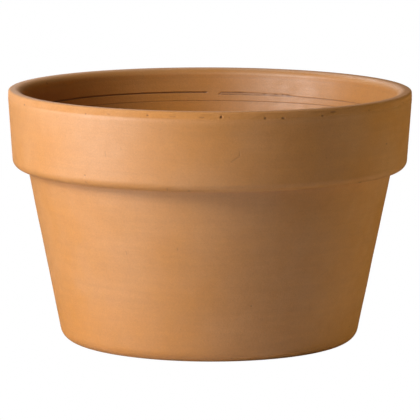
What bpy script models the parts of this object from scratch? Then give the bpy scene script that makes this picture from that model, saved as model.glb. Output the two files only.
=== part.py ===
"""A low clay plant pot with a thick collar: one fired piece, in metres, +Z up.

The pot stands on the XY plane with its axis on Z. A potter's press makes it in one go between
a bowl-shaped mould and a plunger, so it is one closed body. Its section is worked out here as an
outline, and a Screw modifier turns it round the axis.
"""

import math

import bmesh
import bpy
from mathutils import Vector

# Overall size
RADIUS = 0.127                       # at the ridge line, the widest place
HEIGHT = 0.15875

# Lip, the rounded top of the collar, with a narrow shoulder down to the ridge line
LIP_THICKNESS = 0.0097
CREST_INSET = 0.0040                 # how far the highest line lies inside the widest one
OUTER_LIP_FALL = 0.0054              # crest down to the ridge line
INNER_LIP_FALL = 0.0047              # crest down to where the inner wall starts
SHOULDER_SLOPE = math.radians(1)     # leans in from the ridge line
LIP_EDGE_RADIUS = 0.0017

# Collar
COLLAR_FACE_HEIGHT = 0.0440          # ridge line down to the ledge
COLLAR_DRAFT = math.radians(3.84)
COLLAR_EDGE_RADIUS = 0.0057
LEDGE_WIDTH = 0.0092                 # the step under the collar
LEDGE_ROOT_RADIUS = 0.0015

# Wall and foot
WALL_DRAFT = math.radians(11.35)
FOOT_EDGE_RADIUS = 0.0089
FOOT_RING_INNER_RADIUS = 0.0715
RECESS_DEPTH = 0.0025                # the underside inside the foot ring stands clear of the ground
RECESS_SLOPE_RUN = 0.0030

# Inside
INNER_DRAFT = math.radians(12.6)
FLOOR_THICKNESS = 0.012              # from the ground up to the floor that the soil rests on
FLOOR_CORNER_RADIUS = 0.010
HOLE_RADIUS = 0.0125                 # at the floor
HOLE_NARROWING = 0.0008              # how much less its radius is at the underside
HOLE_EDGE_RADIUS = 0.0020

# Fineness of the mesh
TURN_STEPS = 72
LIP_STEPS = 6
EDGE_STEPS = 5
SMALL_EDGE_STEPS = 2
MERGE_DISTANCE = 0.00001

CLAY_COLOUR = (0.54, 0.26, 0.12, 1.0)
CLAY_ROUGHNESS = 0.85


def quarter_ellipse(start, end, steps):
    """Points on a quarter of an ellipse that leaves start upright and reaches end level."""
    size = end - start
    turns = (math.pi / 2 * i / steps for i in range(steps + 1))
    return [
        start + Vector((size.x * (1 - math.cos(turn)), size.y * math.sin(turn))) for turn in turns
    ]


def rounded_corner(before, corner, after, radius, steps):
    """Points on the arc that rounds a corner of the outline, from one straight side to the other."""
    back = (before - corner).normalized()
    ahead = (after - corner).normalized()
    half_angle = back.angle(ahead) / 2
    centre = corner + (back + ahead).normalized() * radius / math.sin(half_angle)
    first = corner + back * radius / math.tan(half_angle) - centre
    last = corner + ahead * radius / math.tan(half_angle) - centre
    sweep = first.angle(last)
    return [
        centre + (first * math.sin(sweep - turn) + last * math.sin(turn)) / math.sin(sweep)
        for turn in (sweep * i / steps for i in range(steps + 1))
    ]


def pot_outline():
    """The section as (radius, height) points: down the outside, in under the base, up the inside."""
    crest = Vector((RADIUS - CREST_INSET, HEIGHT))
    lip_edge = Vector((RADIUS - OUTER_LIP_FALL * math.tan(SHOULDER_SLOPE), HEIGHT))
    ridge = Vector((RADIUS, HEIGHT - OUTER_LIP_FALL))
    ledge_height = ridge.y - COLLAR_FACE_HEIGHT
    collar_edge = Vector((RADIUS - COLLAR_FACE_HEIGHT * math.tan(COLLAR_DRAFT), ledge_height))
    ledge_root = collar_edge - Vector((LEDGE_WIDTH, 0))
    foot_edge = Vector((ledge_root.x - ledge_height * math.tan(WALL_DRAFT), 0))

    ring_inside = Vector((FOOT_RING_INNER_RADIUS, 0))
    recess_outside = Vector((FOOT_RING_INNER_RADIUS - RECESS_SLOPE_RUN, RECESS_DEPTH))
    hole_bottom = Vector((HOLE_RADIUS - HOLE_NARROWING, RECESS_DEPTH))
    hole_top = Vector((HOLE_RADIUS, FLOOR_THICKNESS))

    inner_lip_end = Vector((RADIUS - LIP_THICKNESS, HEIGHT - INNER_LIP_FALL))
    inner_depth = inner_lip_end.y - FLOOR_THICKNESS
    floor_edge = Vector((inner_lip_end.x - inner_depth * math.tan(INNER_DRAFT), FLOOR_THICKNESS))

    outside = (
        rounded_corner(crest, lip_edge, ridge, LIP_EDGE_RADIUS, LIP_STEPS)
        + [ridge]
        + rounded_corner(ridge, collar_edge, ledge_root, COLLAR_EDGE_RADIUS, EDGE_STEPS)
        + rounded_corner(collar_edge, ledge_root, foot_edge, LEDGE_ROOT_RADIUS, SMALL_EDGE_STEPS)
        + rounded_corner(ledge_root, foot_edge, ring_inside, FOOT_EDGE_RADIUS, EDGE_STEPS)
    )
    underside = [ring_inside, recess_outside]
    hole = (
        rounded_corner(recess_outside, hole_bottom, hole_top, HOLE_EDGE_RADIUS, SMALL_EDGE_STEPS)
        + rounded_corner(hole_bottom, hole_top, floor_edge, HOLE_EDGE_RADIUS, SMALL_EDGE_STEPS)
    )
    inside = (
        rounded_corner(hole_top, floor_edge, inner_lip_end, FLOOR_CORNER_RADIUS, EDGE_STEPS)
        + quarter_ellipse(inner_lip_end, crest, LIP_STEPS)
    )
    return outside + underside + hole + inside


def clay_material():
    """Unglazed fired clay."""
    material = bpy.data.materials.new("terracotta")
    material.use_nodes = True
    shader = material.node_tree.nodes["Principled BSDF"]
    shader.inputs["Base Color"].default_value = CLAY_COLOUR
    shader.inputs["Roughness"].default_value = CLAY_ROUGHNESS
    shader.inputs["Metallic"].default_value = 0.0
    return material


def turned_object(name, outline, material, collection):
    """An object whose mesh is the closed outline in the XZ plane, turned round Z."""
    section = bmesh.new()
    corners = [section.verts.new((point.x, 0, point.y)) for point in outline]
    for i, corner in enumerate(corners):
        section.edges.new((corner, corners[(i + 1) % len(corners)]))
    mesh = bpy.data.meshes.new(name)
    section.to_mesh(mesh)
    section.free()
    mesh.materials.append(material)

    turned = bpy.data.objects.new(name, mesh)
    collection.objects.link(turned)
    screw = turned.modifiers.new("turn", "SCREW")
    screw.axis = "Z"
    screw.angle = 2 * math.pi
    screw.steps = TURN_STEPS
    screw.render_steps = TURN_STEPS
    screw.use_merge_vertices = True
    screw.merge_threshold = MERGE_DISTANCE
    screw.use_smooth_shade = True
    return turned


def clear_scene():
    for leftover in list(bpy.data.objects):
        bpy.data.objects.remove(leftover)


def main():
    clear_scene()
    collection = bpy.data.collections.new("terracotta_pot")
    bpy.context.scene.collection.children.link(collection)
    turned_object("pot", pot_outline(), clay_material(), collection)


main()
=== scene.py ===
"""The looks of a low clay plant pot: a finely shaped skin, fired clay and a plain white studio.

The skin is laid out flat first, as a sheet with the turn round the pot's axis across it and the
length along the pot's section down it. It is cut finer around each pit and scratch, and only then
wrapped round the axis, with the potter's marks as relief along its normals.
"""

import math
from types import SimpleNamespace
from typing import NamedTuple

import bmesh
import bpy
import numpy as np
from mathutils import Matrix, Vector


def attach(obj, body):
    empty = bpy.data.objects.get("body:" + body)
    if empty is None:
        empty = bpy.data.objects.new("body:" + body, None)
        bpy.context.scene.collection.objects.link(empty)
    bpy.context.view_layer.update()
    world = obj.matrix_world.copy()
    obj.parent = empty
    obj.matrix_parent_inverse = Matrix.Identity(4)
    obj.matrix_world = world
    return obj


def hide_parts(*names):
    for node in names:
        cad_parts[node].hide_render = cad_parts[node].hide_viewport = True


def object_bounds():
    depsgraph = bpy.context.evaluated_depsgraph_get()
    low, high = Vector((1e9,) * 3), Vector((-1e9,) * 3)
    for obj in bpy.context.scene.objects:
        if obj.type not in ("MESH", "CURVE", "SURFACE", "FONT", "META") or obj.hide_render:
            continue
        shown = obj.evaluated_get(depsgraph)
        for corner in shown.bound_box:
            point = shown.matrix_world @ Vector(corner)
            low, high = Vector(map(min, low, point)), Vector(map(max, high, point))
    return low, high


MM = 0.001
DEGREE = math.radians(1)

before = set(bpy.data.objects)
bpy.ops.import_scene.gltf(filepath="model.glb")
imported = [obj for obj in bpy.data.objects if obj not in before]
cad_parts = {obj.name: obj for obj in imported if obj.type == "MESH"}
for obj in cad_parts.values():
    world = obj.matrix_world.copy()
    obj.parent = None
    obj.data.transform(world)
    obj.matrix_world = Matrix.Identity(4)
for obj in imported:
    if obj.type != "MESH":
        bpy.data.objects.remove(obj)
cad_low, cad_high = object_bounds()

# Overall size, from the frame
RADIUS = (cad_high[0] - cad_low[0]) / 2
HEIGHT = cad_high[2]

# Lip, the rounded top of the collar, with a narrow shoulder down to the ridge line
LIP_THICKNESS = 9.7 * MM
CREST_INSET = 4.0 * MM
OUTER_LIP_FALL = 5.4 * MM
INNER_LIP_FALL = 4.7 * MM
SHOULDER_SLOPE = 1.0 * DEGREE
LIP_EDGE_RADIUS = 1.7 * MM

# Collar
COLLAR_FACE_HEIGHT = 44.0 * MM
COLLAR_DRAFT = 3.84 * DEGREE
COLLAR_EDGE_RADIUS = 5.7 * MM
LEDGE_WIDTH = 9.2 * MM
LEDGE_ROOT_RADIUS = 1.5 * MM

# Wall and foot
WALL_DRAFT = 11.35 * DEGREE
FOOT_EDGE_RADIUS = 8.9 * MM
FOOT_RING_INNER_RADIUS = 71.5 * MM
RECESS_DEPTH = 2.5 * MM
RECESS_SLOPE_RUN = 3.0 * MM

# Inside
INNER_DRAFT = 12.6 * DEGREE
FLOOR_THICKNESS = 12.0 * MM
FLOOR_CORNER_RADIUS = 10.0 * MM
HOLE_RADIUS = 12.5 * MM
HOLE_NARROWING = 0.8 * MM
HOLE_EDGE_RADIUS = 2.0 * MM

# The sheet that the skin starts as
TURN_COUNT = 300                     # its columns
COLUMN_TURN = 2 * math.pi / TURN_COUNT
SEAM = 100 * DEGREE                  # where its two side edges meet, away from the marks
ARC_POINTS = 40                      # on each rounded corner of the section
RIDGE_ABOVE = 0.4 * MM               # the rows lie close from this far above the ridge line
RIDGE_BELOW = 0.5 * MM               # to this far below it
SKIN_INSET = 0.12 * MM               # leaves room for relief inside the CAD part
COLUMN_CUTS = 6                      # in each column near a mark
ROW_CUTS = 4                         # in each row near a mark, if it is taller than TALL_ROW
TALL_ROW = 1.0 * MM
LEVEL_SLACK = 1e-6 * MM
UPRIGHT_SLACK = 1e-6                 # in radians of turn
WELD_DISTANCE = 0.001 * MM

# Rings scored round the inside while the clay was wet
DEEP_RING_HEIGHT = 143.1 * MM
THIN_RING_HEIGHT = 137.8 * MM
TRIM_RING_HEIGHT = 153.0 * MM
SCORED_MARGIN = 3 * MM               # the rows lie close from under the thin one to over the deep one
SCORED_APPROACH = 20 * MM            # and somewhat close from this far under the thin one
ROUGH_BLOTS = [(18.2, 0.7), (22.2, 0.8), (24.6, 0.5), (26.4, 0.7)]   # place and size, in degrees

# Hollows
# The painted shade in the hollows is darkest from this depth on
DARKEST_DEPTH = 0.3 * MM             # deeper ones look no darker
PIT_BURR = 0.14                      # how high the clay beside a pit stands, in depths of it
PIT_BURR_PLACE = 1.7                 # where, in half widths of the pit from its middle
GROOVE_BURR = 0.12
GROOVE_BURR_PLACE = 1.8
BURR_HALF_WIDTH = 0.5                # in half widths of the hollow

# Pits scattered with no rule
SCATTER_SEED = 26
SEAM_MARGIN = 6 * DEGREE             # they keep this far from the seam
SHOULDER_SPREAD = 160 * DEGREE       # on the shoulder they lie within this turn of the seam, behind


# ---------------------------------------------------------------- soft shapes

def bell(distance, half_width=1.0):
    """1 in the middle, about a third at the half width, and next to nothing at twice that."""
    return np.exp(-(distance / half_width) ** 2)


def soft_step(value, start, end):
    """0 up to the start, 1 from the end on, and a smooth change between them, either way round."""
    ratio = np.clip((value - start) / (end - start), 0, 1)
    return ratio * ratio * (3 - 2 * ratio)


def waves(turn, along, seed, most_turns, shortest, longest, count=24):
    """An even, endless ripple: about -2 to 2, whole turns round the pot, wavelengths along it."""
    random = np.random.default_rng(seed)
    total = np.zeros_like(turn)
    for _ in range(count):
        turns = random.integers(-most_turns, most_turns + 1)
        wavelength = shortest * (longest / shortest) ** random.random()
        total += np.cos(turns * turn + 2 * math.pi * along / wavelength + random.uniform(0, 6.3))
    return total / math.sqrt(count / 2)


# ---------------------------------------------------------------- section of the pot

def quarter_ellipse(start, end):
    """Points on a quarter of an ellipse that leaves start upright and reaches end level."""
    turns = np.linspace(0, math.pi / 2, ARC_POINTS)[:, None]
    steps = np.hstack([1 - np.cos(turns), np.sin(turns)])
    return start + (end - start) * steps


def rounded_corner(before, corner, after, radius):
    """Points on the arc that rounds a corner, from one straight side to the other."""
    back = (before - corner) / np.linalg.norm(before - corner)
    ahead = (after - corner) / np.linalg.norm(after - corner)
    half_angle = math.acos(back @ ahead) / 2
    middle = (back + ahead) / np.linalg.norm(back + ahead)
    centre = corner + middle * radius / math.sin(half_angle)
    first = corner + back * radius / math.tan(half_angle) - centre
    last = corner + ahead * radius / math.tan(half_angle) - centre
    sweep = math.pi - 2 * half_angle
    turns = np.linspace(0, sweep, ARC_POINTS)[:, None]
    return centre + (first * np.sin(sweep - turns) + last * np.sin(turns)) / math.sin(sweep)


def corner_point(radius, height):
    return np.array([radius, height])


def straight(*ends):
    return np.array(ends)


class Run(NamedTuple):
    """One stretch of the section, and how far apart the rows of the sheet lie along it."""
    name: str
    points: np.ndarray
    spacing: float


def section_corners():
    """The section's corners, before they are rounded."""
    ridge = corner_point(RADIUS, HEIGHT - OUTER_LIP_FALL)
    ledge_height = ridge[1] - COLLAR_FACE_HEIGHT
    collar_edge = corner_point(RADIUS - COLLAR_FACE_HEIGHT * math.tan(COLLAR_DRAFT), ledge_height)
    ledge_root = collar_edge - corner_point(LEDGE_WIDTH, 0)
    inner_lip_end = corner_point(RADIUS - LIP_THICKNESS, HEIGHT - INNER_LIP_FALL)
    inner_run = (inner_lip_end[1] - FLOOR_THICKNESS) * math.tan(INNER_DRAFT)
    return SimpleNamespace(
        crest=corner_point(RADIUS - CREST_INSET, HEIGHT),
        lip_edge=corner_point(RADIUS - OUTER_LIP_FALL * math.tan(SHOULDER_SLOPE), HEIGHT),
        ridge=ridge,
        collar_edge=collar_edge,
        ledge_root=ledge_root,
        foot_edge=corner_point(ledge_root[0] - ledge_height * math.tan(WALL_DRAFT), 0),
        ring_inside=corner_point(FOOT_RING_INNER_RADIUS, 0),
        recess_outside=corner_point(FOOT_RING_INNER_RADIUS - RECESS_SLOPE_RUN, RECESS_DEPTH),
        hole_bottom=corner_point(HOLE_RADIUS - HOLE_NARROWING, RECESS_DEPTH),
        hole_top=corner_point(HOLE_RADIUS, FLOOR_THICKNESS),
        floor_edge=corner_point(inner_lip_end[0] - inner_run, FLOOR_THICKNESS),
        inner_lip_end=inner_lip_end,
    )


def outside_runs(at):
    """From the crest down the collar and the wall, and in to the edge of the recess."""
    lip_arc = rounded_corner(at.crest, at.lip_edge, at.ridge, LIP_EDGE_RADIUS)
    above_ridge = at.ridge + corner_point(0, RIDGE_ABOVE)
    below_ridge = at.ridge - corner_point(0, RIDGE_BELOW)
    collar_arc = rounded_corner(at.ridge, at.collar_edge, at.ledge_root, COLLAR_EDGE_RADIUS)
    root_arc = rounded_corner(at.collar_edge, at.ledge_root, at.foot_edge, LEDGE_ROOT_RADIUS)
    foot_arc = rounded_corner(at.ledge_root, at.foot_edge, at.ring_inside, FOOT_EDGE_RADIUS)
    return [
        Run("lip_top", straight(at.crest, lip_arc[0]), 0.7 * MM),
        Run("lip_edge", lip_arc, 0.26 * MM),
        Run("shoulder", straight(lip_arc[-1], above_ridge), 0.4 * MM),
        Run("ridge", straight(above_ridge, at.ridge, below_ridge), 0.15 * MM),
        Run("collar", straight(below_ridge, collar_arc[0]), 1.5 * MM),
        Run("collar_edge", collar_arc, 0.8 * MM),
        Run("ledge", straight(collar_arc[-1], root_arc[0]), 0.8 * MM),
        Run("ledge_root", root_arc, 0.4 * MM),
        Run("wall", straight(root_arc[-1], foot_arc[0]), 2.3 * MM),
        Run("foot_edge", foot_arc, 1.2 * MM),
        Run("foot_ring", straight(foot_arc[-1], at.ring_inside), 4 * MM),
    ]


def base_runs(at):
    """In across the recess, up through the drainage hole and out over the floor."""
    bottom_arc = rounded_corner(at.recess_outside, at.hole_bottom, at.hole_top, HOLE_EDGE_RADIUS)
    top_arc = rounded_corner(at.hole_bottom, at.hole_top, at.floor_edge, HOLE_EDGE_RADIUS)
    floor_arc = rounded_corner(at.hole_top, at.floor_edge, at.inner_lip_end, FLOOR_CORNER_RADIUS)
    return [
        Run("recess_slope", straight(at.ring_inside, at.recess_outside), 1.5 * MM),
        Run("recess", straight(at.recess_outside, bottom_arc[0]), 7 * MM),
        Run("hole_bottom", bottom_arc, 1 * MM),
        Run("hole", straight(bottom_arc[-1], top_arc[0]), 2.5 * MM),
        Run("hole_top", top_arc, 1 * MM),
        Run("floor", straight(top_arc[-1], floor_arc[0]), 6 * MM),
        Run("floor_edge", floor_arc, 2 * MM),
    ]


def inside_runs(at, wall_foot):
    """From the foot of the inner wall up to its scored rings, and over the lip to the crest."""
    down_wall = at.floor_edge - at.inner_lip_end

    def wall_point(height):
        return at.inner_lip_end + down_wall * (height - at.inner_lip_end[1]) / down_wall[1]

    middle = wall_point(THIN_RING_HEIGHT - SCORED_APPROACH)
    scored_bottom = wall_point(THIN_RING_HEIGHT - SCORED_MARGIN)
    scored_top = wall_point(DEEP_RING_HEIGHT + SCORED_MARGIN)
    return [
        Run("inner_low", straight(wall_foot, middle), 5 * MM),
        Run("inner_middle", straight(middle, scored_bottom), 2 * MM),
        Run("scored", straight(scored_bottom, scored_top), 0.3 * MM),
        Run("inner_high", straight(scored_top, at.inner_lip_end), 0.7 * MM),
        Run("inner_lip", quarter_ellipse(at.inner_lip_end, at.crest), 0.5 * MM),
    ]


def section_runs():
    """The section in runs: down the outside from the crest, in under the base, up the inside."""
    corners = section_corners()
    runs = outside_runs(corners) + base_runs(corners)
    wall_foot = runs[-1].points[-1]
    return runs + inside_runs(corners, wall_foot)


class Section:
    """The closed section, read by the length along it."""

    def __init__(self, runs):
        self.start, self.end, rows = {}, {}, []
        points, lengths = [runs[0].points[0]], [0.0]
        for run in runs:
            self.start[run.name] = lengths[-1]
            for before, after in zip(run.points[:-1], run.points[1:]):
                points.append(after)
                lengths.append(lengths[-1] + float(np.linalg.norm(after - before)))
            self.end[run.name] = lengths[-1]
            span = self.end[run.name] - self.start[run.name]
            count = max(1, round(span / run.spacing))
            rows += [self.start[run.name] + span * i / count for i in range(count)]
        self.points = np.array(points)
        self.lengths = np.array(lengths)
        self.total = self.lengths[-1]
        self.rows = np.array(rows + [self.total])
        self.ridge_line = self.start["ridge"] + RIDGE_ABOVE

    def at(self, along):
        """Radius and height at each length along the section."""
        wrapped = np.mod(along, self.total)
        radius = np.interp(wrapped, self.lengths, self.points[:, 0])
        height = np.interp(wrapped, self.lengths, self.points[:, 1])
        return radius, height

    def normal_at(self, along, reach=0.08 * MM):
        """The outward normal in the plane of the section, averaged over a short reach."""
        radius_before, height_before = self.at(along - reach)
        radius_after, height_after = self.at(along + reach)
        out = height_before - height_after
        up = radius_after - radius_before
        size = np.hypot(out, up)
        return out / size, up / size

    def along_at_height(self, first, last, height):
        """The length along the section where the runs from first to last pass a height."""
        inside = (self.lengths >= self.start[first]) & (self.lengths <= self.end[last])
        lengths, heights = self.lengths[inside], self.points[inside, 1]
        order = np.argsort(heights)
        return float(np.interp(height, heights[order], lengths[order]))

    def window(self, along, first, last, fade):
        """1 between the runs first and last, and 0 beyond them, with soft ends."""
        inside_by = np.minimum(along - self.start[first], self.end[last] - along)
        return soft_step(inside_by, 0, fade)


# ---------------------------------------------------------------- marks in the clay

class Mark(NamedTuple):
    """A pit, or a scratch when it has a length: where it lies, and its shape."""
    turn: float                      # round the axis, from the camera's side towards +X
    along: float                     # down the section
    half_width: float
    depth: float
    length: float = 0.0
    lean: float = 0.0                # 0 runs round the pot, 90 degrees up and down

    def reach(self):
        return self.length / 2 + 3 * self.half_width


def turn_from_seam(turn):
    """The same turn, counted within the full turn that starts at the seam."""
    return SEAM + (turn - SEAM) % (2 * math.pi)


def inner_turn(seen_turn):
    """The turn of a place on the far inside wall that is seen that far right of the middle."""
    return math.pi - seen_turn


def shoulder_marks(section):
    """The pits on the shoulder. Some were dragged out sideways."""
    # Degrees right of the front, height over the ridge line, half width, depth and drag in mm
    pits = [
        (-63.8, 1.05, 0.50, 0.40, 0.5),
        (-36.1, 1.05, 0.40, 0.35, 0.0),
        (-28.6, 1.85, 0.30, 0.14, 1.2),
        (-17.1, 2.45, 0.48, 0.40, 0.3),
        (-10.1, 2.15, 0.30, 0.16, 2.6),
        (-2.2, 2.05, 0.30, 0.18, 2.4),
        (3.1, 2.25, 0.72, 0.70, 0.0),
        (5.2, 2.05, 0.30, 0.20, 0.0),
        (15.1, 1.05, 0.50, 0.45, 0.7),
        (20.2, 0.80, 0.50, 0.45, 1.0),
        (32.2, 1.05, 0.55, 0.50, 0.3),
        (35.7, 2.85, 0.35, 0.25, 3.2),
        (49.5, 1.45, 0.35, 0.20, 0.8),
        (70.2, 1.65, 0.60, 0.55, 0.0),
    ]
    ridge_height = HEIGHT - OUTER_LIP_FALL
    return [
        Mark(
            turn=degrees * DEGREE,
            along=section.along_at_height("lip_edge", "ridge", ridge_height + rise * MM),
            half_width=size * MM,
            depth=depth * MM,
            length=drag * MM,
        )
        for degrees, rise, size, depth, drag in pits
    ]


def face_marks(section):
    """Small marks on the collar's face, its lower edge and the wall."""
    # Degrees right of the front, height, half width, depth and length in mm, lean in degrees
    places = [
        (-30.1, 130.8, 0.28, 0.10, 3.0, 86),
        (-25.2, 135.0, 0.25, 0.08, 1.6, 80),
        (-13.4, 147.9, 0.28, 0.14, 0.0, 0),
        (-11.9, 110.9, 0.28, 0.14, 2.2, 88),
        (-5.8, 110.2, 0.50, 0.40, 0.8, 0),
        (48.7, 110.2, 0.45, 0.35, 1.4, 0),
        (6.9, 129.9, 0.26, 0.14, 5.6, -33),
        (8.2, 133.2, 0.24, 0.11, 3.2, 88),
        (29.4, 130.5, 0.30, 0.15, 0.0, 0),
        (34.2, 128.4, 0.32, 0.18, 0.0, 0),
        (-28.3, 68.4, 0.26, 0.14, 2.4, 86),
        (-10.3, 72.6, 0.30, 0.12, 1.4, 80),
        (43.0, 53.9, 0.30, 0.08, 5.0, -30),
    ]
    return [
        Mark(
            turn=degrees * DEGREE,
            along=section.along_at_height("collar", "foot_edge", height * MM),
            half_width=size * MM,
            depth=depth * MM,
            length=length * MM,
            lean=lean * DEGREE,
        )
        for degrees, height, size, depth, length, lean in places
    ]


def inside_marks(section):
    """A pit in the lip's inner side, and the hook where the rough part of the deep ring starts."""
    pit = Mark(
        turn=inner_turn(-63 * DEGREE),
        along=section.along_at_height("inner_low", "inner_lip", 155.6 * MM),
        half_width=0.5 * MM,
        depth=0.45 * MM,
    )
    hook = Mark(
        turn=inner_turn(3.3 * DEGREE),
        along=section.along_at_height("inner_low", "inner_lip", DEEP_RING_HEIGHT - 0.6 * MM),
        half_width=0.32 * MM,
        depth=0.30 * MM,
        length=2.0 * MM,
        lean=-40 * DEGREE,
    )
    return [pit, hook]


def scattered_marks(section):
    """Small pits with no rule to them, all over the pot but for the front of its shoulder."""
    random = np.random.default_rng(SCATTER_SEED)
    places = [("shoulder", "shoulder", 12), ("collar", "collar_edge", 9), ("wall", "foot_edge", 12),
              ("inner_low", "inner_high", 8), ("lip_top", "lip_top", 4), ("foot_ring", "foot_ring", 3)]
    marks = []
    for first, last, count in places:
        for _ in range(count):
            turn = SEAM + random.uniform(SEAM_MARGIN, 2 * math.pi - SEAM_MARGIN)
            if first == "shoulder":
                turn = SEAM + random.uniform(SEAM_MARGIN, SHOULDER_SPREAD)
            size = random.uniform(0.28, 0.5) * MM
            marks.append(Mark(
                turn=turn,
                along=random.uniform(section.start[first] + 2 * size, section.end[last] - 2 * size),
                half_width=size,
                depth=size * random.uniform(0.4, 0.9),
                length=random.uniform(0, 1.2) * MM,
                lean=random.normal(0, 20) * DEGREE,
            ))
    return marks


def mark_relief(turn, along, radius, mark):
    """How far the mark moves the surface, with a slight burr round it, and how dark the painted shade
    in it is.
    """
    arc = (turn - turn_from_seam(mark.turn)) * radius
    down = along - mark.along
    lengthways = np.abs(arc * math.cos(mark.lean) + down * math.sin(mark.lean))
    sideways = down * math.cos(mark.lean) - arc * math.sin(mark.lean)
    distance = np.hypot(np.maximum(lengthways - mark.length / 2, 0), sideways) / mark.half_width
    hollow = bell(distance)
    burr = PIT_BURR * bell(distance - PIT_BURR_PLACE, BURR_HALF_WIDTH)
    return mark.depth * (burr - hollow), hollow * min(1, mark.depth / DARKEST_DEPTH)


def groove(along, centre, half_width):
    """The cross-section of a scored ring: 1 in its middle, with a slight burr along both sides."""
    distance = np.abs(along - centre) / half_width
    return bell(distance) - GROOVE_BURR * bell(distance - GROOVE_BURR_PLACE, BURR_HALF_WIDTH)


def scored_relief(section, turn, along):
    """How far the rings inside move the surface, and how dark the painted shade in them is.

    The deep ring breaks off in the middle of the far wall. To the right of that it runs rough and
    double, and then faint.
    """
    deep, thin, trim = (
        section.along_at_height("inner_low", "inner_high", height)
        for height in (DEEP_RING_HEIGHT, THIN_RING_HEIGHT, TRIM_RING_HEIGHT)
    )
    wander = 0.20 * MM * np.sin(2 * turn + 0.6) + 0.10 * MM * np.sin(5 * turn)

    # Where each stretch of the deep ring fades in and out, in degrees right of the far wall's middle
    seen = ((math.pi - turn + math.pi) % (2 * math.pi) - math.pi) / DEGREE
    clean = soft_step(seen, -150, -120) * soft_step(seen, -0.6, -1.4)
    upper = soft_step(seen, 3.2, 4.0) * soft_step(seen, 18, 9)
    lower = soft_step(seen, 2.6, 3.4) * soft_step(seen, 30, 27)
    torn = soft_step(seen, 3.0, 4.0) * soft_step(seen, 29, 26)
    faint = soft_step(seen, 25, 29) * soft_step(seen, 100, 60)
    faint_drop = 1.1 * MM * soft_step(seen, 20, 32)
    blots = sum(bell(seen - place, size) for place, size in ROUGH_BLOTS)
    uneven = 0.8 + 0.25 * np.clip(waves(turn, 0 * along, 5, 110, MM, MM), -1.5, 1.5)

    # Each stretch: its depth, where it runs, and its middle and half width down the section
    depth = 0.50 * MM * clean * groove(along, deep + wander, 0.42 * MM)
    depth += 0.30 * MM * upper * uneven * groove(along, deep + 0.1 * MM, 0.32 * MM)
    depth += 0.20 * MM * lower * (1.6 - uneven) * groove(along, deep - 1.3 * MM, 0.28 * MM)
    depth += 0.12 * MM * torn * groove(along, deep - 0.6 * MM, 0.9 * MM)
    depth += 0.15 * MM * blots * groove(along, deep - 0.5 * MM, 0.6 * MM)
    depth += 0.20 * MM * faint * groove(along, deep - faint_drop, 0.32 * MM)
    depth += 0.20 * MM * groove(along, thin - 0.6 * wander, 0.26 * MM)
    depth += 0.05 * MM * groove(along, trim, 0.4 * MM)
    # The darkness is painted shade in the rings, partly the clay's own darker colour
    return -depth, np.clip(depth / DARKEST_DEPTH, 0, 1)


# ---------------------------------------------------------------- the skin

class Place(NamedTuple):
    """Part of the sheet that is cut finer."""
    turn: float
    along: float
    arc_reach: float
    down_reach: float


def fine_places(section, marks):
    """Where the sheet is cut finer: round each mark, and where the deep ring runs rough."""
    rough_ring = Place(
        turn=inner_turn(14 * DEGREE),
        along=section.along_at_height("inner_low", "inner_high", DEEP_RING_HEIGHT),
        arc_reach=34 * MM,
        down_reach=1.5 * MM,
    )
    return [rough_ring] + [Place(mark.turn, mark.along, mark.reach(), mark.reach()) for mark in marks]


def flat_sheet(section):
    """The sheet: x is the turn round the axis, y the length along the section."""
    sheet = bmesh.new()
    turns = SEAM + np.linspace(0, 2 * math.pi, TURN_COUNT + 1)
    rows = [[sheet.verts.new((turn, along, 0)) for turn in turns] for along in section.rows]
    for upper, lower in zip(rows[:-1], rows[1:]):
        for i in range(TURN_COUNT):
            sheet.faces.new((upper[i], lower[i], lower[i + 1], upper[i + 1]))
    return sheet


def faces_near(sheet, section, places):
    """The faces within reach of any of the places, and their neighbours."""
    faces = list(sheet.faces)
    middles = np.array([face.calc_center_bounds()[:2] for face in faces])
    radii = section.at(middles[:, 1])[0]
    near = np.zeros(len(faces), bool)
    for place in places:
        arc = np.abs(middles[:, 0] - turn_from_seam(place.turn)) * radii
        down = np.abs(middles[:, 1] - place.along)
        near |= (arc < place.arc_reach + COLUMN_TURN * radii / 2) & (down < place.down_reach + MM)
    return [faces[i] for i in np.flatnonzero(near)]


def cut_finer(sheet, section, places):
    """Cuts the faces near each place into narrow columns, and then into low rows."""
    faces = faces_near(sheet, section, places)
    level = {edge for face in faces for edge in face.edges if lies_level(edge)}
    bmesh.ops.subdivide_edges(sheet, edges=list(level), cuts=COLUMN_CUTS)
    faces = faces_near(sheet, section, places)
    upright = {
        edge for face in faces for edge in face.edges
        if stands_upright(edge) and edge.calc_length() > TALL_ROW
    }
    bmesh.ops.subdivide_edges(sheet, edges=list(upright), cuts=ROW_CUTS)
    many_sided = [face for face in sheet.faces if len(face.verts) > 4]
    bmesh.ops.triangulate(sheet, faces=many_sided)


def lies_level(edge):
    return abs(edge.verts[0].co.y - edge.verts[1].co.y) < LEVEL_SLACK


def stands_upright(edge):
    return abs(edge.verts[0].co.x - edge.verts[1].co.x) < UPRIGHT_SLACK


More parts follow.
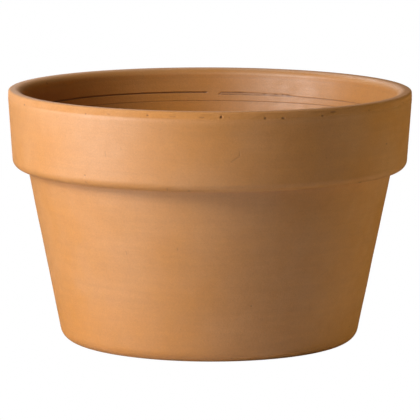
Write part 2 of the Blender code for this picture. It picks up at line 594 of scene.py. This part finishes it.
def clay_unevenness(section, turn, along):
    """Throwing ripples, a slightly oval collar, and the slight bead under the ridge line."""
    outside = section.window(along, "collar", "foot_edge", 6 * MM)
    inside = section.window(along, "floor", "inner_high", 6 * MM)
    shoulder = section.window(along, "lip_edge", "ridge", 1 * MM)
    collar = section.window(along, "lip_edge", "collar_edge", 3 * MM)

    # Each ripple: its height, where it runs, and its seed, most turns and wavelengths
    uneven = 0.035 * MM * outside * waves(turn, along, 1, 5, 26 * MM, 90 * MM)
    uneven += 0.007 * MM * outside * waves(turn, along, 2, 2, 3.5 * MM, 11 * MM)
    uneven += 0.050 * MM * inside * waves(turn, along, 3, 4, 20 * MM, 80 * MM)
    uneven += 0.014 * MM * inside * waves(turn, along, 4, 2, 3 * MM, 12 * MM)
    uneven += 0.020 * MM * shoulder * waves(turn, along, 6, 90, 2 * MM, 8 * MM)

    oval = 0.05 * MM * collar * np.cos(2 * turn + 0.9)
    bead = 0.05 * MM * bell(along - section.ridge_line - 1.2 * MM, 0.9 * MM)
    return uneven + oval + bead


def surface_relief(section, turn, along, radius, marks):
    """How far every point is moved out of the smooth skin, and how dark the painted shade in its
    hollows is.
    """
    scored, hollow = scored_relief(section, turn, along)
    relief = clay_unevenness(section, turn, along) + scored - SKIN_INSET
    for mark in marks:
        moved, dark = mark_relief(turn, along, radius, mark)
        relief += moved
        hollow = np.maximum(hollow, dark)
    return relief, hollow


def surface_masks(section, turn, along):
    """Where the clay is rough from trimming, and where it is paler: wear at the foot and partly on the
    lip, and painted highlight along the ridge line, the lip's outer corner and its top.
    """
    ridge_line = bell(along - section.ridge_line - 1.0 * MM, 1.0 * MM)
    lip_corner = bell(along - section.end["lip_top"] - 0.9 * MM, 1.0 * MM)
    lip_top = section.window(along, "inner_lip", "inner_lip", 2 * MM) + (along < section.end["lip_top"])
    foot = section.window(along, "foot_edge", "foot_ring", 5 * MM)
    patchy = 0.75 + 0.25 * np.clip(waves(turn, along, 7, 12, 8 * MM, 40 * MM), -1.5, 1.5)
    # Paler at the ridge line, the lip's corner and its top: partly wear, partly painted highlight; at
    # the foot: wear
    wear_and_highlight = np.maximum.reduce([0.3 * ridge_line, 0.4 * lip_corner, 0.5 * lip_top, 0.2 * foot]) * patchy
    rough = section.window(along, "lip_edge", "shoulder", 0.8 * MM)
    return {"rough": rough, "wear_and_highlight": np.clip(wear_and_highlight, 0, 1)}


def wrap(sheet, section, marks):
    """Wraps the sheet round the axis with its relief, and welds its edges to each other."""
    turn, along = np.array([vert.co[:2] for vert in sheet.verts]).T
    radius, height = section.at(along)
    out, up = section.normal_at(along)
    relief, hollow = surface_relief(section, turn, along, radius, marks)
    radius = radius + relief * out
    height = height + relief * up
    places = np.stack([radius * np.sin(turn), -radius * np.cos(turn), height], axis=1)

    masks = surface_masks(section, turn, along) | {"hollow": hollow}
    layers = {name: sheet.verts.layers.float.new(name) for name in masks}
    sheet.verts.ensure_lookup_table()
    for i, vert in enumerate(sheet.verts):
        vert.co = places[i]
        for name, layer in layers.items():
            vert[layer] = masks[name][i]

    borders = [vert for vert in sheet.verts if vert.is_boundary]
    bmesh.ops.remove_doubles(sheet, verts=borders, dist=WELD_DISTANCE)
    bmesh.ops.recalc_face_normals(sheet, faces=sheet.faces)


def build_pot():
    section = Section(section_runs())
    marks = shoulder_marks(section) + face_marks(section) + inside_marks(section)
    marks += scattered_marks(section)
    sheet = flat_sheet(section)
    cut_finer(sheet, section, fine_places(section, marks))
    wrap(sheet, section, marks)
    mesh = bpy.data.meshes.new("clay_pot")
    sheet.to_mesh(mesh)
    sheet.free()
    mesh.shade_smooth()
    pot = bpy.data.objects.new("clay_pot", mesh)
    bpy.context.scene.collection.objects.link(pot)
    return pot


# ---------------------------------------------------------------- fired clay

class NodeBuilder:
    """Adds nodes to a material or a world, with their inputs given as values or as other outputs."""

    def __init__(self, tree):
        self.tree = tree
        self.tree.nodes.clear()

    def add(self, kind, inputs=None, **settings):
        node = self.tree.nodes.new(kind)
        for name, value in settings.items():
            setattr(node, name, value)
        for name, value in (inputs or {}).items():
            if isinstance(value, bpy.types.NodeSocket):
                self.tree.links.new(value, node.inputs[name])
            else:
                node.inputs[name].default_value = value
        return node

    def noise(self, vector, scale, detail, roughness):
        node = self.add("ShaderNodeTexNoise", {
            "Vector": vector, "Scale": scale, "Detail": detail, "Roughness": roughness,
        })
        return node.outputs["Fac"]

    def scaled(self, value, low, high, to_low=0.0, to_high=1.0):
        node = self.add("ShaderNodeMapRange", {
            "Value": value, "From Min": low, "From Max": high, "To Min": to_low, "To Max": to_high,
        })
        return node.outputs["Result"]

    def math(self, operation, first, second):
        node = self.add("ShaderNodeMath", {0: first, 1: second}, operation=operation)
        return node.outputs[0]

    def mix(self, factor, first, second, blend_type="MIX"):
        node = self.add(
            "ShaderNodeMix", {0: factor, 6: first, 7: second}, data_type="RGBA", blend_type=blend_type,
        )
        return node.outputs[2]

    def grey(self, value):
        node = self.add("ShaderNodeCombineColor", {0: value, 1: value, 2: value})
        return node.outputs[0]

    def attribute(self, name):
        return self.add("ShaderNodeAttribute", attribute_name=name).outputs["Fac"]


ORANGE_CLAY = (0.485, 0.190, 0.028, 1.0)
PINK_CLAY = (0.490, 0.210, 0.054, 1.0)
BROWN_CLAY = (0.364, 0.133, 0.023, 1.0)
# Paler clay: wear at the foot and on the lip, and painted highlight along the ridge line and the lip
WEAR_AND_HIGHLIGHT_CLAY = (0.58, 0.31, 0.14, 1.0)
# Painted shade in pits and scored rings, partly the clay's own darker colour
SHADED_HOLLOW_CLAY = (0.105, 0.036, 0.010, 1.0)

# How fine the patterns in the clay are, in features to the metre
CLOUDS = 16.0
MOTTLE = 120.0
STREAKS = 330.0
GRAIN = 900.0
GRIT = 1500.0
STREAK_STRETCH = (0.06, 0.06, 1.0)   # draws the streaks out level, round the pot

BUMP_HEIGHT = 0.3 * MM
BUMP_STRENGTH = 0.35
CLAY_ROUGHNESS = (0.50, 0.60)        # its ends, between which it follows the mottling
TRIMMED_ROUGHNESS = 0.4              # what the trimmed shoulder adds
CLAY_IOR = 1.57
CLAY_SPECULAR = 1.0


def clay_colour(build, clouds, mottle, streaks, grain, grit):
    """Mottled orange and pink, darker in streaks and grit, with painted shade in the hollows, and paler
    with wear and painted highlight along the ridge line and the lip.
    """
    colour = build.mix(build.scaled(clouds, 0.38, 0.62), ORANGE_CLAY, PINK_CLAY)
    colour = build.mix(build.scaled(mottle, 0.35, 0.75, 0.0, 0.16), colour, BROWN_CLAY)
    tone = build.scaled(streaks, 0.3, 0.7, 0.965, 1.035)
    tone = build.math("MULTIPLY", tone, build.scaled(grain, 0.3, 0.7, 0.93, 1.07))
    tone = build.math("MULTIPLY", tone, build.scaled(grit, 0.70, 0.76, 1.0, 0.82))
    tone = build.math("MULTIPLY", tone, build.scaled(build.attribute("rough"), 0.0, 1.0, 1.0, 0.93))
    colour = build.mix(1.0, colour, build.grey(tone), "MULTIPLY")
    # Paler with wear, and with painted highlight along the ridge line and the lip
    wear_and_highlight = build.math("MULTIPLY", build.attribute("wear_and_highlight"), build.scaled(grain, 0.3, 0.6, 0.35, 0.6))
    colour = build.mix(wear_and_highlight, colour, WEAR_AND_HIGHLIGHT_CLAY)
    # Painted shade in the pits and scored rings, partly the clay's own darker colour
    return build.mix(build.math("MULTIPLY", build.attribute("hollow"), 0.8), colour, SHADED_HOLLOW_CLAY)


def terracotta():
    """Unglazed fired clay, with a fine grain and a faint gloss."""
    material = bpy.data.materials.new("terracotta")
    material.use_nodes = True
    build = NodeBuilder(material.node_tree)
    place = build.add("ShaderNodeTexCoord").outputs["Object"]
    streaks_place = build.add(
        "ShaderNodeVectorMath", {0: place, 1: STREAK_STRETCH}, operation="MULTIPLY",
    ).outputs[0]

    clouds = build.noise(place, CLOUDS, 3.0, 0.55)
    mottle = build.noise(place, MOTTLE, 3.0, 0.6)
    streaks = build.noise(streaks_place, STREAKS, 3.0, 0.6)
    grain = build.noise(place, GRAIN, 3.0, 0.65)
    grit = build.noise(place, GRIT, 1.0, 0.5)

    roughness = build.scaled(mottle, 0.3, 0.7, *CLAY_ROUGHNESS)
    trimmed = build.math("MULTIPLY", build.attribute("rough"), TRIMMED_ROUGHNESS)
    roughness = build.math("ADD", roughness, trimmed)
    height = build.math("ADD", grain, build.math("MULTIPLY", streaks, 0.5))
    bump = build.add("ShaderNodeBump", {
        "Height": height, "Strength": BUMP_STRENGTH, "Distance": BUMP_HEIGHT,
    })

    shader = build.add("ShaderNodeBsdfPrincipled", {
        "Base Color": clay_colour(build, clouds, mottle, streaks, grain, grit),
        "Roughness": roughness,
        "Normal": bump.outputs["Normal"],
        "IOR": CLAY_IOR,
        "Specular IOR Level": CLAY_SPECULAR,
    })
    build.add("ShaderNodeOutputMaterial", {"Surface": shader.outputs["BSDF"]})
    return material


# ---------------------------------------------------------------- studio

CAMERA_DISTANCE = 2.286              # in front of the pot's axis
CAMERA_SIDE = 0.22 * MM              # to the right of it
CAMERA_HEIGHT = 0.4144
CAMERA_PITCH = 8.29 * DEGREE         # downwards
CAMERA_ROLL = 0.19 * DEGREE
SENSOR_WIDTH = 36.0
LENS = 313.3                         # both in Blender's camera millimetres

WHITE = (1.0, 1.0, 1.0)
WARM = (1.0, 0.96, 0.62)
LIGHT_AIM = 0.12                     # the height that every light points at
LIGHT_DISTANCE = 1.4                 # from there to each of them


class SoftLight(NamedTuple):
    """A square light that faces the pot. Its angles are counted from the camera's side, in degrees."""
    name: str
    azimuth: float                   # negative to the camera's left
    elevation: float
    size: float                      # along a side, in metres
    power: float                     # in watts
    glossy: bool                     # whether it shows in the clay's faint gloss
    colour: tuple = WHITE


LIGHTS = [
    SoftLight("key_light", -61, 29, 0.46, 15.8, True),
    SoftLight("low_side_light", -72, 0, 0.40, 5.0, True),
    SoftLight("low_front_light", -50, 0, 0.24, 4.2, True),
    SoftLight("low_edge_light", -100, 0, 0.24, 1.4, True),
    SoftLight("high_fill", -37, 40, 0.60, 6.4, False),
    SoftLight("right_fill", 118, 0, 0.24, 6.6, False, WARM),
    SoftLight("side_fill", 90, 0, 0.24, 3.2, False, WARM),
    SoftLight("back_light", -160, 38, 0.60, 4.8, True),
]

FLOOR_RADIUS = 4.0
TABLE_RADIUS = 1.6
DISC_SIDES = 64
TABLE_WHITE = (0.9, 0.9, 0.9, 1.0)
STUDIO_DARK = (0.01, 0.01, 0.01, 1.0)


def photo_camera():
    """A camera that stands where the photo's camera stood, and looks slightly down at the pot."""
    data = bpy.data.cameras.new("camera")
    data.sensor_width = SENSOR_WIDTH
    data.lens = LENS
    data.clip_end = 100
    camera = bpy.data.objects.new("camera", data)
    forward = Vector((0, math.cos(CAMERA_PITCH), -math.sin(CAMERA_PITCH)))
    level_right = Vector((1, 0, 0))
    level_up = level_right.cross(forward)
    right = level_right * math.cos(CAMERA_ROLL) + level_up * math.sin(CAMERA_ROLL)
    up = right.cross(forward)
    turned = Matrix((right, up, -forward)).transposed().to_4x4()
    camera.matrix_world = Matrix.Translation((CAMERA_SIDE, -CAMERA_DISTANCE, CAMERA_HEIGHT)) @ turned
    bpy.context.scene.collection.objects.link(camera)
    bpy.context.scene.camera = camera


def add_light(light):
    """Hangs the light where its angles say, out of the camera's sight."""
    azimuth, elevation = light.azimuth * DEGREE, light.elevation * DEGREE
    level = LIGHT_DISTANCE * math.cos(elevation)
    away = Vector((
        level * math.sin(azimuth), -level * math.cos(azimuth), LIGHT_DISTANCE * math.sin(elevation),
    ))
    data = bpy.data.lights.new(light.name, "AREA")
    data.shape = "SQUARE"
    data.size = light.size
    data.energy = light.power
    data.color = light.colour
    lamp = bpy.data.objects.new(light.name, data)
    lamp.location = Vector((0, 0, LIGHT_AIM)) + away
    lamp.rotation_euler = (-away).to_track_quat("-Z", "Y").to_euler()
    lamp.visible_camera = False
    lamp.visible_glossy = light.glossy
    bpy.context.scene.collection.objects.link(lamp)


def studio_world():
    """White to the camera, and all but black to the pot, which the lights and the table light."""
    world = bpy.data.worlds.new("studio")
    world.use_nodes = True
    build = NodeBuilder(world.node_tree)
    seen = build.add("ShaderNodeLightPath").outputs["Is Camera Ray"]
    colour = build.mix(seen, STUDIO_DARK, (*WHITE, 1.0))
    background = build.add("ShaderNodeBackground", {"Color": colour, "Strength": 1.0})
    build.add("ShaderNodeOutputWorld", {"Surface": background.outputs[0]})
    bpy.context.scene.world = world


def disc(name, radius, shader_type, settings):
    """A level disc on the ground, with a material of one shader."""
    sheet = bmesh.new()
    bmesh.ops.create_circle(sheet, cap_ends=True, segments=DISC_SIDES, radius=radius)
    mesh = bpy.data.meshes.new(name)
    sheet.to_mesh(mesh)
    sheet.free()
    material = bpy.data.materials.new(name)
    material.use_nodes = True
    build = NodeBuilder(material.node_tree)
    shader = build.add(shader_type, settings)
    build.add("ShaderNodeOutputMaterial", {"Surface": shader.outputs[0]})
    mesh.materials.append(material)
    flat = bpy.data.objects.new(name, mesh)
    bpy.context.scene.collection.objects.link(flat)
    return flat


def white_floor():
    """What the camera sees under the pot: plain white, as if lit so brightly that no shadow shows."""
    shining = {"Color": (*WHITE, 1.0), "Strength": 1.0}
    floor = disc("white_floor", FLOOR_RADIUS, "ShaderNodeEmission", shining)
    floor.visible_diffuse = False
    floor.visible_glossy = False
    floor.visible_shadow = False
    return floor


def bouncing_table():
    """A white table top that throws light up onto the clay, and that the pot shades.

    Neither the camera nor the clay's faint gloss sees it.
    """
    table = disc("bouncing_table", TABLE_RADIUS, "ShaderNodeBsdfDiffuse", {"Color": TABLE_WHITE})
    table.visible_camera = False
    table.visible_glossy = False
    return table


def light_studio():
    for light in LIGHTS:
        add_light(light)
    studio_world()
    bpy.context.scene.view_settings.view_transform = "Standard"


pot = build_pot()
pot.data.materials.append(terracotta())
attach(pot, "root")
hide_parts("pot")
white_floor()
bouncing_table()
photo_camera()
light_studio()
